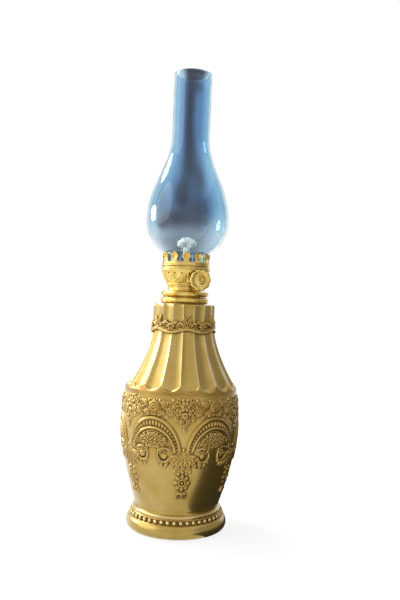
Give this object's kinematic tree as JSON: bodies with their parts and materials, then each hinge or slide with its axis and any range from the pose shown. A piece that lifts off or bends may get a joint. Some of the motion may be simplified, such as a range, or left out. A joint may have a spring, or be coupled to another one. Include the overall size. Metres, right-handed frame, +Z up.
{
  "type": "kerosene lamp",
  "caption": "Tall vase-shaped table oil lamp with a fluted gold body, a brass flat-wick burner with a turning knob, a pronged chimney holder and a bulbous blue glass chimney.",
  "frame": {"origin": "centre of the foot's underside, on the plane that the lamp stands on", "axes": "+Z up along the lamp's axis, the wick knob faces -Y, and the wick's feed shaft lies at +X of the wick"},
  "size_m": [0.089, 0.0892, 0.3377],
  "materials": {
    "gold_body": "gold paint, satin",
    "plaster": "matte",
    "brass": "gloss",
    "inner_brass": "satin",
    "steel": "satin",
    "cotton": "matte",
    "blue_glass": "gloss"
  },
  "bodies": {
    "reservoir": {"reservoir_body": "gold_body", "collar_plaster": "plaster", "neck_collar": "brass"},
    "screw_cap": {"burner_base": "brass"},
    "burner": {"burner_bowl": "brass", "chimney_crown": "brass", "air_plate": "inner_brass", "wick_tube": "inner_brass", "wheel_box": "inner_brass", "shaft_sleeve": "brass"},
    "wick_drive": {"wick_shaft": "brass", "feed_wheel_front": "steel", "feed_wheel_rear": "steel", "knob": "brass"},
    "wick": {"wick": "cotton"},
    "chimney": {"chimney": "blue_glass"}
  },
  "joints": [
    {"name": "burner_lift", "type": "slide", "parent": "reservoir", "child": "screw_cap", "axis": [0, 0, 1], "range_m": [0, 0.00725]},
    {"name": "burner_turn", "type": "hinge", "parent": "screw_cap", "child": "burner", "pos_m": [0, 0, 0.1708], "axis": [0, 0, 1], "range_deg": [0, 1080]},
    {"name": "knob_turn", "type": "hinge", "parent": "burner", "child": "wick_drive", "pos_m": [0.0047, -0.0177, 0.1833], "axis": [0, 1, 0], "range_deg": [-108, 162]},
    {"name": "wick_raise", "type": "slide", "parent": "burner", "child": "wick", "axis": [0, 0, 1], "range_m": [-0.006, 0.009]},
    {"name": "chimney_lift", "type": "slide", "parent": "burner", "child": "chimney", "axis": [0, 0, 1], "range_m": [0, 0.06]}
  ],
  "couplings": [
    {"joint": "burner_lift", "follows": "burner_turn", "m_per_rad": 0.00038197},
    {"joint": "knob_turn", "follows": "wick_raise", "rad_per_m": 312.5}
  ]
}
